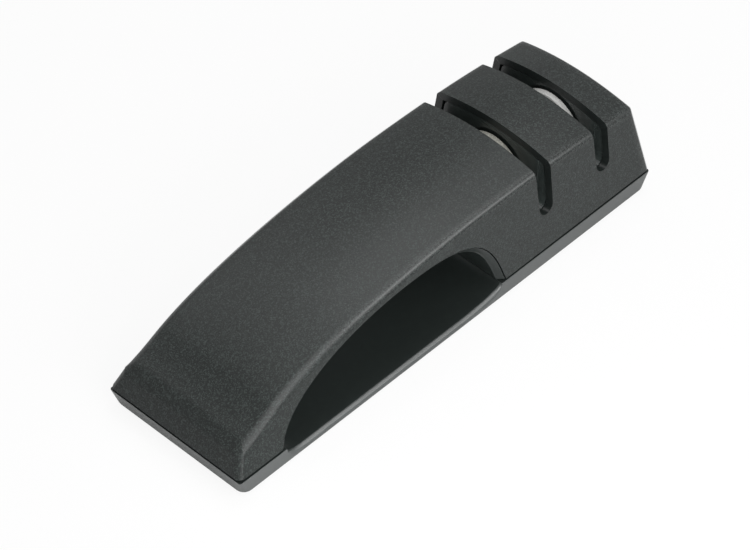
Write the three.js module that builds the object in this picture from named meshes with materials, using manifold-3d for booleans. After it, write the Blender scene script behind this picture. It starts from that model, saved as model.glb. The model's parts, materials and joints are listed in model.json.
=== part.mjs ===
// Two-stage roll sharpener for kitchen knives, with a bridge-shaped handle.
// Millimetres, +Z up, +X from the tail of the handle to the head with the slots.
// Inside the model x runs from the tail end and z from the line where housing and base meet.
import * as THREE from 'three';
import Module from 'manifold-3d';
import { mergeVertices } from 'three/addons/utils/BufferGeometryUtils.js';

const wasm = await Module();
wasm.setup();

// Whole body
const BODY_LENGTH = 205;
const BODY_WIDTH = 62.2;
const BASE_HEIGHT = 7.6;
const FOOT_STAND = 1;
const PARTING_GAP = 0.5;
const FIT_GAP = 0.35;
const WALL = 3;
const TOP_WALL = 2.1;
const CORNER_RADIUS = 1;
const BASE_END_DRAW = 1.8;
const BASE_SIDE_DRAW = 0.2;
const BASE_LOW_RADIUS = 3.2;
const BASE_EDGE = 0.5;

// Upper line of the housing, seen from the side
const TAIL_RAKE = 0.2;
const TAIL_LIP_START = 4.5;
const TAIL_LIP_HEIGHT = 7.3;
const ARCH_START_X = 4.7;
const ARCH_START_Z = 9.2;
const ARCH_RISE_RUN = 26;
const ARCH_RISE_HEIGHT = 18.7;
const CREST_FROM_HEAD = 83;
const CREST_HEIGHT = 34.6;
const CREST_TAIL_RUN = 45;
const CREST_HEAD_RUN = 30.5;
const HEAD_RAKE = 5.6;
const HEAD_HEIGHT = 29.9;
const HEAD_SLOPE = 0.177;
const HEAD_RUN = 19.6;
const CROWN = 3.4;
const EDGE_INSET = 4.7;
const EDGE_ROUND = 2.6;

// Grip opening
const GRIP_TAIL_FOOT = 20;
const GRIP_TAIL_LEAN = 3.3;
const GRIP_TAIL_RISE = 14.5;
const GRIP_CREST_X = 88;
const GRIP_CREST = 28.6;
const GRIP_CREST_TAIL_RUN = 38.4;
const GRIP_CREST_HEAD_RUN = 29.7;
const GRIP_HEAD_FROM_HEAD = 75.8;
const GRIP_HEAD_LEAN = 5;
const GRIP_HEAD_RISE = 19.8;
const LINER_WALL = 2;
const FLOOR = 2.6;
const GRIP_TAIL_SCOOP = 9;
const GRIP_HEAD_SCOOP = 22;

// Knife slots
const FINE_FROM_HEAD = 23.6;
const SLOT_PITCH = 29.8;
const SLOT_WIDTH = 6.8;
const SLOT_FLARE = 0.4;
const SLOT_FLOOR = 14.5;
const SLOT_RELIEF = 0.6;
const GUIDE_END_WALL = 2.1;

// Sharpening wheels and their axles
const WHEEL_RADIUS = 13.5;
const WHEEL_TOP = 31.4;
const WHEEL_OFF_CENTRE = 1.3;
const WHEEL_WIDTH = 2.7;
const WHEEL_SPACING = 0.6;
const WHEEL_LAND = 2.2;
const WHEEL_BEVEL_DEPTH = 1.8;
const HUB_RADIUS = 5;
const AXLE_RADIUS = 2;
const AXLE_SEAT = 3.6;
const WASHER_THICKNESS = 0.8;
const WASHER_RADIUS = 4.5;
const TURN_GAP = 1;
const RUN_GAP = 0.2;

// Carrier, retainer and fasteners
const CARRIER_END_WALL = 2.4;
const CARRIER_WALL = 2;
const RETAINER_PLATE = 2.2;
const SCREW_RADIUS = 1.3;
const SCREW_HEAD_RADIUS = 2.5;
const SCREW_HEAD_HEIGHT = 1.4;
const SCREW_DRIVE_DEPTH = 0.7;
const SCREW_DRIVE_REACH = 1.5;
const SCREW_DRIVE_WIDTH = 0.65;
const SCREW_EDGE = 1;
const RETAINER_SCREW_FROM_SIDE = 10.1;
const RETAINER_SCREW_LENGTH = 9;
const BASE_SCREW_FROM_SIDE = 23.1;
const TAIL_SCREW_FROM_END = 10;
const HEAD_SCREW_GAP = 0.6;
const BASE_SCREW_LENGTH = 9;
const BASE_SCREW_WEB = 2.6;
const BOSS_RADIUS = 3;
const FOOT_RADIUS = 5.5;
const FOOT_DEPTH = 1;
const FOOT_FROM_END = 14;
const FOOT_FROM_SIDE = 11.1;
const TONGUE_WALL = 1.2;
const TONGUE_HEIGHT = 2.2;

// How far a cutting shape runs past what it cuts, and how deep joined shapes run into each other
const PAST = 1;
const JOIN = 0.5;

// Facets of the round pieces and steps along the curves
const WHEEL_SIDES = 40;
const HUB_SIDES = 24;
const PIN_SIDES = 16;
const FOOT_SIDES = 20;
const POST_SIDES = 18;
const SCREW_SIDES = 12;
const LIP_STEPS = 4;
const ARCH_STEPS = 14;
const FALL_STEPS = 7;
const ROUND_STEPS = 3;
const CORNER_STEPS = 5;
const SLOT_STEPS = 8;
const CROWN_SHARES = [0.7, 0.45, 0.2];
const CORNER_SHARES = [1, 1 / 2, 1 / 8, 0];

// Shared places worked out from the sizes above
const FAR = 2 * BODY_LENGTH;
const HALF_WIDTH = BODY_WIDTH / 2;
const CREST_X = BODY_LENGTH - CREST_FROM_HEAD;
const HEAD_TOP_X = BODY_LENGTH - HEAD_RAKE;
const GRIP_HEAD_FOOT = BODY_LENGTH - GRIP_HEAD_FROM_HEAD;
const FINE_X = BODY_LENGTH - FINE_FROM_HEAD;
const COARSE_X = FINE_X - SLOT_PITCH;
const AXLE_Z = WHEEL_TOP - WHEEL_RADIUS;
const WHEEL_INNER = WHEEL_SPACING / 2;
const WHEEL_OUTER = WHEEL_INNER + WHEEL_WIDTH;
const WASHER_INNER = WHEEL_OUTER + RUN_GAP;
const WELL_HALF = WASHER_INNER + WASHER_THICKNESS + RUN_GAP;
const WELL_RADIUS = WHEEL_RADIUS + TURN_GAP;
const AXLE_HALF = WELL_HALF + AXLE_SEAT;
const BASE_BOTTOM = -BASE_HEIGHT;
const BASE_FLOOR = BASE_BOTTOM + FLOOR;
const RETAINER_BOTTOM = BASE_FLOOR + FIT_GAP;
const RETAINER_TOP = RETAINER_BOTTOM + RETAINER_PLATE;
const CARRIER_BOTTOM = RETAINER_TOP + FIT_GAP;
const STAGE_REACH = AXLE_HALF + RUN_GAP;
const CARRIER_TAIL = COARSE_X - STAGE_REACH - CARRIER_END_WALL;
const CARRIER_HEAD = FINE_X + STAGE_REACH + CARRIER_END_WALL;
const RETAINER_SCREW_IN = SCREW_HEAD_RADIUS + SCREW_EDGE;
const RETAINER_SCREW_X = [CARRIER_TAIL + RETAINER_SCREW_IN, CARRIER_HEAD - RETAINER_SCREW_IN];
const PILLAR_RADIUS = SCREW_HEAD_RADIUS + FIT_GAP + SCREW_EDGE;
const BASE_SCREW_X = [TAIL_SCREW_FROM_END, CARRIER_HEAD + HEAD_SCREW_GAP + PILLAR_RADIUS];
const BASE_SCREW_SEAT = -PARTING_GAP / 2 - BASE_SCREW_WEB;
const BASE_SCREW_Z = BASE_SCREW_SEAT - RUN_GAP - SCREW_HEAD_HEIGHT;
const BASE_SCREW_TIP = BASE_SCREW_Z + BASE_SCREW_LENGTH;
const FOOT_X = [FOOT_FROM_END, BODY_LENGTH - FOOT_FROM_END];
const FOOT_Y = HALF_WIDTH - FOOT_FROM_SIDE;
const BASE_SCREW_Y = HALF_WIDTH - BASE_SCREW_FROM_SIDE;
const RETAINER_SCREW_Y = HALF_WIDTH - RETAINER_SCREW_FROM_SIDE;
const PARTING_HEIGHT = FOOT_STAND + BASE_HEIGHT;
const TONGUE_INSET = WALL + 2 * FIT_GAP;

// Solid modelling helpers
function solid(geometry) {
  const plain = geometry.clone();
  plain.deleteAttribute('normal');
  plain.deleteAttribute('uv');
  const joined = mergeVertices(plain, 1e-4);
  const mesh = new wasm.Mesh({
    numProp: 3,
    vertProperties: Float32Array.from(joined.attributes.position.array),
    triVerts: Uint32Array.from(joined.index.array),
  });
  return new wasm.Manifold(mesh);
}

function geometryOf(body) {
  const mesh = body.getMesh();
  const geometry = new THREE.BufferGeometry();
  geometry.setAttribute('position', new THREE.BufferAttribute(mesh.vertProperties, 3));
  geometry.setIndex(new THREE.BufferAttribute(mesh.triVerts, 1));
  const flat = geometry.toNonIndexed();
  flat.computeVertexNormals();
  return flat;
}

function block(x0, x1, y0, y1, z0, z1) {
  const geometry = new THREE.BoxGeometry(x1 - x0, y1 - y0, z1 - z0);
  geometry.translate((x0 + x1) / 2, (y0 + y1) / 2, (z0 + z1) / 2);
  return geometry;
}

// A round bar along z
function post(radius, x, y, z0, z1, sides = POST_SIDES) {
  const geometry = new THREE.CylinderGeometry(radius, radius, z1 - z0, sides);
  geometry.rotateX(Math.PI / 2);
  geometry.translate(x, y, (z0 + z1) / 2);
  return geometry;
}

// An outline in x and z run through the full width
function acrossWidth(shape, half, curveSegments = ARCH_STEPS) {
  const geometry = new THREE.ExtrudeGeometry(shape, { depth: 2 * half, bevelEnabled: false, curveSegments });
  geometry.rotateX(Math.PI / 2);
  geometry.translate(0, half, 0);
  return geometry;
}

// A turned form about the x axis, from points of (place along the axis, radius)
function turned(points, sides) {
  const profile = points.map(([along, radius]) => new THREE.Vector2(radius, along));
  const geometry = new THREE.LatheGeometry(profile, sides);
  geometry.rotateZ(-Math.PI / 2);
  return geometry;
}

// A closed skin over rings of points that all have the same count
function loft(rings) {
  const count = rings[0].length;
  const positions = rings.flat().flatMap((point) => [point.x, point.y, point.z]);
  const index = [];
  for (let ring = 0; ring + 1 < rings.length; ring += 1) {
    for (let k = 0; k < count; k += 1) {
      const a = ring * count + k;
      const b = ring * count + (k + 1) % count;
      index.push(a, b, a + count, b, b + count, a + count);
    }
  }
  const capOf = (ring) => THREE.ShapeUtils.triangulateShape(
    rings[ring].map((point) => new THREE.Vector2(point.y, point.z)), []);
  const last = (rings.length - 1) * count;
  for (const [a, b, c] of capOf(0)) index.push(a, c, b);
  for (const [a, b, c] of capOf(rings.length - 1)) index.push(last + a, last + b, last + c);
  const geometry = new THREE.BufferGeometry();
  geometry.setAttribute('position', new THREE.Float32BufferAttribute(positions, 3));
  geometry.setIndex(index);
  return geometry;
}

// Upper edge line of the housing: tail lip, long arch and gentle fall to the head
function edgeLine() {
  const lip = new THREE.QuadraticBezierCurve(
    new THREE.Vector2(TAIL_RAKE * TAIL_LIP_START, TAIL_LIP_START),
    new THREE.Vector2(TAIL_RAKE * TAIL_LIP_HEIGHT, TAIL_LIP_HEIGHT),
    new THREE.Vector2(ARCH_START_X, ARCH_START_Z));
  const arch = new THREE.CubicBezierCurve(
    new THREE.Vector2(ARCH_START_X, ARCH_START_Z),
    new THREE.Vector2(ARCH_START_X + ARCH_RISE_RUN, ARCH_START_Z + ARCH_RISE_HEIGHT),
    new THREE.Vector2(CREST_X - CREST_TAIL_RUN, CREST_HEIGHT),
    new THREE.Vector2(CREST_X, CREST_HEIGHT));
  const fall = new THREE.CubicBezierCurve(
    new THREE.Vector2(CREST_X, CREST_HEIGHT),
    new THREE.Vector2(CREST_X + CREST_HEAD_RUN, CREST_HEIGHT),
    new THREE.Vector2(HEAD_TOP_X - HEAD_RUN, HEAD_HEIGHT + HEAD_RUN * HEAD_SLOPE),
    new THREE.Vector2(HEAD_TOP_X, HEAD_HEIGHT));
  const points = [
    ...lip.getPoints(LIP_STEPS),
    ...arch.getPoints(ARCH_STEPS).slice(1),
    ...fall.getPoints(FALL_STEPS).slice(1, -1),
  ];
  for (const share of CORNER_SHARES) {
    const back = CORNER_RADIUS * share;
    points.push(new THREE.Vector2(HEAD_TOP_X - back, HEAD_HEIGHT + HEAD_SLOPE * back));
  }
  return points;
}

// How far a plan corner draws the side in at a distance from the end
function cornerDraw(distance) {
  const rest = THREE.MathUtils.clamp(CORNER_RADIUS - distance, 0, CORNER_RADIUS);
  return CORNER_RADIUS - Math.sqrt(CORNER_RADIUS ** 2 - rest ** 2);
}

// One cross ring: leaning sides, rounded upper edges and a crowned top
function bodyRing(foot, edge, inset, bottom) {
  const drawn = cornerDraw(Math.min(foot, BODY_LENGTH - foot));
  const low = HALF_WIDTH - drawn - inset;
  const high = low - EDGE_INSET;
  const top = Math.max(edge.y - inset * TOP_WALL / WALL, EDGE_ROUND / 4);
  const corner = new THREE.Vector2(high, top);
  const sideDirection = new THREE.Vector2(low - high, -top).normalize();
  const crownEnd = new THREE.Vector2(high - EDGE_ROUND, top + CROWN * (1 - (1 - EDGE_ROUND / high) ** 2));
  const sideEnd = corner.clone().addScaledVector(sideDirection, EDGE_ROUND);
  const round = new THREE.QuadraticBezierCurve(sideEnd, corner, crownEnd).getPoints(ROUND_STEPS);
  const half = [new THREE.Vector2(low, bottom), new THREE.Vector2(low, 0), ...round];
  for (const share of CROWN_SHARES) {
    half.push(new THREE.Vector2(high * share, top + CROWN * (1 - share ** 2)));
  }
  const shrink = (BODY_LENGTH - 2 * inset) / BODY_LENGTH;
  const place = (point, side) => {
    const raked = foot + (edge.x - foot) * point.y / edge.y;
    return new THREE.Vector3(inset + raked * shrink, side * point.x, point.y);
  };
  const right = half.map((point) => place(point, 1));
  const left = half.map((point) => place(point, -1)).reverse();
  return [...right, ...left];
}

// The housing's outer form, or the same form drawn in by an inset
function bodyForm(inset, bottom) {
  const edge = edgeLine();
  const span = HEAD_TOP_X - edge[0].x;
  const footOf = (point) => BODY_LENGTH * (point.x - edge[0].x) / span;
  const rings = edge.map((point) => bodyRing(footOf(point), point, inset, bottom));
  return solid(loft(rings));
}

// Outline of the grip opening above the parting line, drawn in by an inset
function gripArch(inset) {
  const tail = GRIP_TAIL_FOOT + inset;
  const head = GRIP_HEAD_FOOT - inset;
  const crest = GRIP_CREST - inset;
  const shape = new THREE.Shape();
  shape.moveTo(tail, -PAST);
  shape.lineTo(tail, 0);
  shape.bezierCurveTo(tail + GRIP_TAIL_LEAN, GRIP_TAIL_RISE, GRIP_CREST_X - GRIP_CREST_TAIL_RUN, crest,
    GRIP_CREST_X, crest);
  shape.bezierCurveTo(GRIP_CREST_X + GRIP_CREST_HEAD_RUN, crest, head - GRIP_HEAD_LEAN, GRIP_HEAD_RISE,
    head, 0);
  shape.lineTo(head, -PAST);
  return shape;
}

// Outline of the grip opening below the parting line: rounded scoops down to the floor
function gripScoop() {
  const tail = GRIP_TAIL_FOOT + LINER_WALL;
  const head = GRIP_HEAD_FOOT - LINER_WALL;
  const shape = new THREE.Shape();
  shape.moveTo(tail, TONGUE_HEIGHT + PAST);
  shape.lineTo(tail, 0);
  shape.quadraticCurveTo(tail, BASE_FLOOR, tail + GRIP_TAIL_SCOOP, BASE_FLOOR);
  shape.lineTo(head - GRIP_HEAD_SCOOP, BASE_FLOOR);
  shape.quadraticCurveTo(head, BASE_FLOOR, head, 0);
  shape.lineTo(head, TONGUE_HEIGHT + PAST);
  return shape;
}

// A knife slot: straight flared sides and a round bottom, drawn in by an inset
function slotOutline(centre, inset = 0) {
  const half = SLOT_WIDTH / 2 - inset;
  const top = CREST_HEIGHT + CROWN + PAST;
  const shape = new THREE.Shape();
  shape.moveTo(centre + half + SLOT_FLARE, top);
  shape.lineTo(centre - half - SLOT_FLARE, top);
  shape.lineTo(centre - half, SLOT_FLOOR + SLOT_WIDTH / 2);
  shape.absarc(centre, SLOT_FLOOR + SLOT_WIDTH / 2, half, Math.PI, 2 * Math.PI, false);
  return shape;
}

// A plain round bar on the x axis
function roller(half, radius, sides) {
  return turned([[-half, 0], [-half, radius], [half, radius], [half, 0]], sides);
}

// A geometry given in a wheel set's own frame, put at its place in the body
function onAxle(geometry, centre) {
  return geometry.clone().translate(centre, -WHEEL_OFF_CENTRE, AXLE_Z);
}

function upperHousing() {
  const lift = PARTING_GAP / 2;
  const outer = bodyForm(0, -PAST);
  let shell = outer.subtract(bodyForm(WALL, -2 * PAST));
  const reach = BODY_WIDTH;
  shell = shell.subtract(solid(acrossWidth(gripArch(0), reach)));
  for (const centre of [COARSE_X, FINE_X]) {
    shell = shell.subtract(solid(acrossWidth(slotOutline(centre), reach, SLOT_STEPS)));
  }
  const inside = bodyForm(WALL / 2, -PAST);
  for (const x of BASE_SCREW_X) {
    for (const side of [-1, 1]) {
      const y = side * BASE_SCREW_Y;
      const boss = solid(post(BOSS_RADIUS, x, y, lift, CREST_HEIGHT)).intersect(inside);
      const pilot = post(SCREW_RADIUS + RUN_GAP, x, y, -PAST, BASE_SCREW_TIP + PAST, SCREW_SIDES);
      shell = shell.add(boss).subtract(solid(pilot));
    }
  }
  return shell.intersect(solid(block(-FAR, FAR, -FAR, FAR, lift, FAR)));
}

// The base's plan outline as one ring at a height
function baseRing(endInset, sideInset, radius, z) {
  const x0 = endInset;
  const x1 = BODY_LENGTH - endInset;
  const y1 = HALF_WIDTH - sideInset;
  const outline = new THREE.Shape();
  outline.absarc(x1 - radius, y1 - radius, radius, 0, Math.PI / 2, false);
  outline.absarc(x0 + radius, y1 - radius, radius, Math.PI / 2, Math.PI, false);
  outline.absarc(x0 + radius, radius - y1, radius, Math.PI, 1.5 * Math.PI, false);
  outline.absarc(x1 - radius, radius - y1, radius, 1.5 * Math.PI, 2 * Math.PI, false);
  return outline.getPoints(CORNER_STEPS).slice(0, -1)
    .map((point) => new THREE.Vector3(point.x, point.y, z));
}

// A stack of level rings closed at both ends
function stack(rings) {
  const turnedRings = rings.map((ring) => ring.map((point) => new THREE.Vector3(point.z, point.x, point.y)));
  const geometry = loft(turnedRings);
  const positions = geometry.attributes.position;
  for (let k = 0; k < positions.count; k += 1) {
    positions.setXYZ(k, positions.getY(k), positions.getZ(k), positions.getX(k));
  }
  return solid(geometry);
}

function baseTray() {
  const top = -PARTING_GAP / 2;
  let tray = stack([
    baseRing(BASE_END_DRAW + BASE_EDGE, BASE_SIDE_DRAW + BASE_EDGE, BASE_LOW_RADIUS, BASE_BOTTOM),
    baseRing(BASE_END_DRAW, BASE_SIDE_DRAW, BASE_LOW_RADIUS, BASE_BOTTOM + BASE_EDGE),
    baseRing(0, 0, CORNER_RADIUS, top),
  ]);
  const tongueOuter = bodyForm(TONGUE_INSET, top - PAST);
  const slab = solid(block(-FAR, FAR, -FAR, FAR, top - JOIN, TONGUE_HEIGHT));
  tray = tray.add(tongueOuter.intersect(slab));
  const hollow = bodyForm(TONGUE_INSET + TONGUE_WALL, BASE_BOTTOM - PAST)
    .intersect(solid(block(-FAR, FAR, -FAR, FAR, BASE_FLOOR, FAR)));
  const bridge = solid(block(GRIP_TAIL_FOOT, GRIP_HEAD_FOOT, -FAR, FAR, -FAR, FAR));
  tray = tray.subtract(hollow.subtract(bridge));
  tray = tray.subtract(bridge.intersect(solid(block(-FAR, FAR, -FAR, FAR, top, FAR))));
  tray = tray.subtract(solid(acrossWidth(gripScoop(), BODY_WIDTH)));
  const room = bodyForm(TONGUE_INSET, BASE_BOTTOM - PAST);
  const low = BASE_BOTTOM - PAST;
  for (const x of BASE_SCREW_X) {
    for (const side of [-1, 1]) {
      const y = side * BASE_SCREW_Y;
      const stand = solid(post(PILLAR_RADIUS, x, y, BASE_FLOOR - JOIN, top)).intersect(room);
      const bossNotch = post(BOSS_RADIUS + FIT_GAP, x, y, top, TONGUE_HEIGHT + PAST);
      tray = tray.add(stand).subtract(solid(bossNotch));
      tray = tray.subtract(solid(post(SCREW_HEAD_RADIUS + FIT_GAP, x, y, low, BASE_SCREW_SEAT)));
      tray = tray.subtract(solid(post(SCREW_RADIUS + RUN_GAP, x, y, low, PAST, SCREW_SIDES)));
    }
  }
  for (const x of FOOT_X) {
    for (const side of [-1, 1]) {
      const recess = post(FOOT_RADIUS + FIT_GAP, x, side * FOOT_Y, low, BASE_BOTTOM + FOOT_DEPTH);
      tray = tray.subtract(solid(recess));
    }
  }
  return tray;
}

function gripLiner() {
  const trim = bodyForm(FIT_GAP, -PAST);
  const foot = solid(block(-FAR, FAR, -FAR, FAR, PARTING_GAP / 2, FAR));
  const outer = solid(acrossWidth(gripArch(FIT_GAP), BODY_WIDTH));
  const inner = solid(acrossWidth(gripArch(LINER_WALL), BODY_WIDTH + PAST));
  return outer.subtract(inner).intersect(trim).intersect(foot);
}

// A round space on a stage's axle that is also open downwards, so a piece drops in from below
function dropSpace(centre, half, radius, sides) {
  const drop = block(-half, half, -radius, radius, -FAR, 0);
  return solid(onAxle(roller(half, radius, sides), centre)).add(solid(onAxle(drop, centre)));
}

function wheelCarrier() {
  const room = bodyForm(WALL + FIT_GAP, CARRIER_BOTTOM - PAST);
  const tongueRoom = bodyForm(TONGUE_INSET + TONGUE_WALL + FIT_GAP, CARRIER_BOTTOM - PAST);
  const tongueTop = TONGUE_HEIGHT + FIT_GAP;
  const lowSlab = block(CARRIER_TAIL, CARRIER_HEAD, -FAR, FAR, CARRIER_BOTTOM, tongueTop + JOIN);
  const low = tongueRoom.intersect(solid(lowSlab));
  const tall = room.intersect(solid(block(CARRIER_TAIL, CARRIER_HEAD, -FAR, FAR, tongueTop, FAR)));
  let carrier = tall.add(low);
  const guideEnd = HALF_WIDTH - EDGE_INSET - WALL - FIT_GAP - GUIDE_END_WALL;
  for (const centre of [COARSE_X, FINE_X]) {
    carrier = carrier.subtract(solid(acrossWidth(slotOutline(centre), BODY_WIDTH, SLOT_STEPS)));
    const wide = solid(acrossWidth(slotOutline(centre, -SLOT_RELIEF), BODY_WIDTH, SLOT_STEPS));
    const guide = solid(block(centre - SLOT_WIDTH, centre + SLOT_WIDTH, -guideEnd, guideEnd, -FAR, FAR));
    carrier = carrier.subtract(wide.subtract(guide));
    carrier = carrier.subtract(dropSpace(centre, WELL_HALF, WELL_RADIUS, WHEEL_SIDES));
    carrier = carrier.subtract(dropSpace(centre, AXLE_HALF + RUN_GAP, AXLE_RADIUS + RUN_GAP, PIN_SIDES));
  }
  const coreTail = COARSE_X + STAGE_REACH + CARRIER_WALL;
  const coreHead = FINE_X - STAGE_REACH - CARRIER_WALL;
  const core = bodyForm(TONGUE_INSET + TONGUE_WALL + CARRIER_WALL, CARRIER_BOTTOM - PAST);
  carrier = carrier.subtract(core.intersect(solid(block(coreTail, coreHead, -FAR, FAR, -FAR, FAR))));
  for (const x of RETAINER_SCREW_X) {
    for (const side of [-1, 1]) {
      const depth = RETAINER_BOTTOM + RETAINER_SCREW_LENGTH + PAST;
      const pilot = post(SCREW_RADIUS + RUN_GAP, x, side * RETAINER_SCREW_Y, -FAR, depth, SCREW_SIDES);
      carrier = carrier.subtract(solid(pilot));
    }
  }
  return carrier;
}

function axleRetainer() {
  const half = RETAINER_SCREW_Y + SCREW_HEAD_RADIUS + SCREW_EDGE;
  let plate = solid(block(CARRIER_TAIL, CARRIER_HEAD, -half, half, RETAINER_BOTTOM, RETAINER_TOP));
  const width = AXLE_RADIUS;
  const drop = AXLE_Z - RETAINER_BOTTOM - WALL / 2;
  for (const centre of [COARSE_X, FINE_X]) {
    for (const side of [-1, 1]) {
      const near = side * (WELL_HALF + RUN_GAP);
      const far = side * AXLE_HALF;
      const top = -AXLE_RADIUS - RUN_GAP;
      const prop = block(Math.min(near, far), Math.max(near, far), -width, width, -drop, top);
      plate = plate.add(solid(onAxle(prop, centre)));
    }
  }
  for (const x of RETAINER_SCREW_X) {
    for (const side of [-1, 1]) {
      const y = side * RETAINER_SCREW_Y;
      const sunk = RETAINER_BOTTOM + SCREW_HEAD_HEIGHT + RUN_GAP;
      const shank = post(SCREW_RADIUS + RUN_GAP, x, y, -FAR, RETAINER_TOP + PAST, SCREW_SIDES);
      plate = plate.subtract(solid(shank));
      plate = plate.subtract(solid(post(SCREW_HEAD_RADIUS + RUN_GAP, x, y, -FAR, sunk)));
    }
  }
  return plate;
}

// An abrasive wheel whose inner side is bevelled; mirror is -1 for the tail wheel
function abrasiveWheel(mirror) {
  const bore = HUB_RADIUS + RUN_GAP;
  const profile = [
    [WHEEL_INNER, bore],
    [WHEEL_INNER, WHEEL_RADIUS - WHEEL_BEVEL_DEPTH],
    [WHEEL_OUTER - WHEEL_LAND, WHEEL_RADIUS],
    [WHEEL_OUTER, WHEEL_RADIUS],
    [WHEEL_OUTER, bore],
  ].map(([along, radius]) => [mirror * along, radius]);
  if (mirror < 0) profile.reverse();
  profile.push(profile[0]);
  return turned(profile, WHEEL_SIDES);
}

// The sleeve both wheels are pressed on
function wheelHub() {
  const bore = AXLE_RADIUS + RUN_GAP;
  const profile = [
    [-WHEEL_OUTER, bore],
    [-WHEEL_OUTER, HUB_RADIUS],
    [WHEEL_OUTER, HUB_RADIUS],
    [WHEEL_OUTER, bore],
    [-WHEEL_OUTER, bore],
  ];
  return turned(profile, HUB_SIDES);
}

function axlePin() {
  const chamfer = AXLE_RADIUS / 5;
  return turned([
    [-AXLE_HALF, 0],
    [-AXLE_HALF, AXLE_RADIUS - chamfer],
    [chamfer - AXLE_HALF, AXLE_RADIUS],
    [AXLE_HALF - chamfer, AXLE_RADIUS],
    [AXLE_HALF, AXLE_RADIUS - chamfer],
    [AXLE_HALF, 0],
  ], PIN_SIDES);
}

function thrustWasher(side) {
  const bore = AXLE_RADIUS + RUN_GAP;
  const near = side * WASHER_INNER;
  const far = near + side * WASHER_THICKNESS;
  const ends = [Math.min(near, far), Math.max(near, far)];
  return turned([
    [ends[0], bore],
    [ends[0], WASHER_RADIUS],
    [ends[1], WASHER_RADIUS],
    [ends[1], bore],
    [ends[0], bore],
  ], PIN_SIDES);
}

// A self-tapping screw standing head down, with a cross recess in its head
function screw(length) {
  const shape = [
    [0, 0],
    [SCREW_HEAD_RADIUS, 0],
    [SCREW_HEAD_RADIUS, SCREW_HEAD_HEIGHT],
    [SCREW_RADIUS, SCREW_HEAD_HEIGHT],
    [SCREW_RADIUS, length - SCREW_RADIUS],
    [SCREW_RADIUS / 2, length],
    [0, length],
  ].map(([radius, z]) => new THREE.Vector2(radius, z));
  const body = solid(new THREE.LatheGeometry(shape, SCREW_SIDES).rotateX(Math.PI / 2));
  const arm = SCREW_DRIVE_REACH;
  const thin = SCREW_DRIVE_WIDTH / 2;
  const drive = solid(block(-arm, arm, -thin, thin, -PAST, SCREW_DRIVE_DEPTH))
    .add(solid(block(-thin, thin, -arm, arm, -PAST, SCREW_DRIVE_DEPTH)));
  return geometryOf(body.subtract(drive));
}

// A round rubber foot with a rounded lower rim
function rubberFoot() {
  const height = FOOT_DEPTH - RUN_GAP + FOOT_STAND;
  const rim = FOOT_STAND / 2;
  const profile = [
    [0, 0],
    [FOOT_RADIUS - rim, 0],
    [FOOT_RADIUS, rim],
    [FOOT_RADIUS, height],
    [0, height],
  ].map(([radius, z]) => new THREE.Vector2(radius, z));
  return new THREE.LatheGeometry(profile, FOOT_SIDES).rotateX(Math.PI / 2);
}

const materials = {
  housing: new THREE.MeshStandardMaterial({ color: 0x2b2d2e, roughness: 0.62, metalness: 0 }),
  base: new THREE.MeshStandardMaterial({ color: 0x2e3031, roughness: 0.35, metalness: 0 }),
  liner: new THREE.MeshStandardMaterial({ color: 0x1b1c1d, roughness: 0.45, metalness: 0 }),
  carrier: new THREE.MeshStandardMaterial({ color: 0x141516, roughness: 0.3, metalness: 0 }),
  hub: new THREE.MeshStandardMaterial({ color: 0x18191a, roughness: 0.5, metalness: 0 }),
  coarse: new THREE.MeshStandardMaterial({ color: 0xb9bab6, roughness: 0.85, metalness: 0 }),
  fine: new THREE.MeshStandardMaterial({ color: 0xe2e2de, roughness: 0.6, metalness: 0 }),
  steel: new THREE.MeshStandardMaterial({ color: 0xb4b7ba, roughness: 0.3, metalness: 1 }),
  washer: new THREE.MeshStandardMaterial({ color: 0xd8d6cf, roughness: 0.5, metalness: 0 }),
  rubber: new THREE.MeshStandardMaterial({ color: 0x1a1a1b, roughness: 0.9, metalness: 0 }),
};

function piece(name, geometry, material) {
  const mesh = new THREE.Mesh(geometry, materials[material]);
  mesh.name = name;
  return mesh;
}

// One stage: axle, hub, two wheels and the washers at each side
function wheelSet(stage, centre) {
  const set = new THREE.Group();
  set.name = `${stage}_set`;
  set.position.set(centre, -WHEEL_OFF_CENTRE, AXLE_Z);
  set.add(piece(`${stage}_axle`, axlePin(), 'steel'));
  set.add(piece(`${stage}_hub`, wheelHub(), 'hub'));
  set.add(piece(`${stage}_wheel_tail`, abrasiveWheel(-1), stage));
  set.add(piece(`${stage}_wheel_head`, abrasiveWheel(1), stage));
  set.add(piece(`${stage}_washer_tail`, thrustWasher(-1), 'washer'));
  set.add(piece(`${stage}_washer_head`, thrustWasher(1), 'washer'));
  return set;
}

// Like pieces at the four meetings of two x places and two sides
function fourCorners(name, geometry, material, xs, y, z) {
  const group = new THREE.Group();
  group.name = `${name}s`;
  const ends = ['tail', 'head'];
  const sides = { near: -1, far: 1 };
  ends.forEach((end, k) => {
    for (const [side, sign] of Object.entries(sides)) {
      const mesh = piece(`${name}_${end}_${side}`, geometry.clone(), material);
      mesh.position.set(xs[k], sign * y, z);
      group.add(mesh);
    }
  });
  return group;
}

const sharpener = new THREE.Group();
sharpener.name = 'knife_sharpener';
const body = new THREE.Group();
body.name = 'body';
body.position.set(-BODY_LENGTH / 2, 0, PARTING_HEIGHT);
sharpener.add(body);

body.add(piece('upper_housing', geometryOf(upperHousing()), 'housing'));
body.add(piece('base_tray', geometryOf(baseTray()), 'base'));
body.add(piece('grip_liner', geometryOf(gripLiner()), 'liner'));
body.add(piece('wheel_carrier', geometryOf(wheelCarrier()), 'carrier'));
body.add(piece('axle_retainer', geometryOf(axleRetainer()), 'carrier'));
body.add(wheelSet('coarse', COARSE_X));
body.add(wheelSet('fine', FINE_X));

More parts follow.
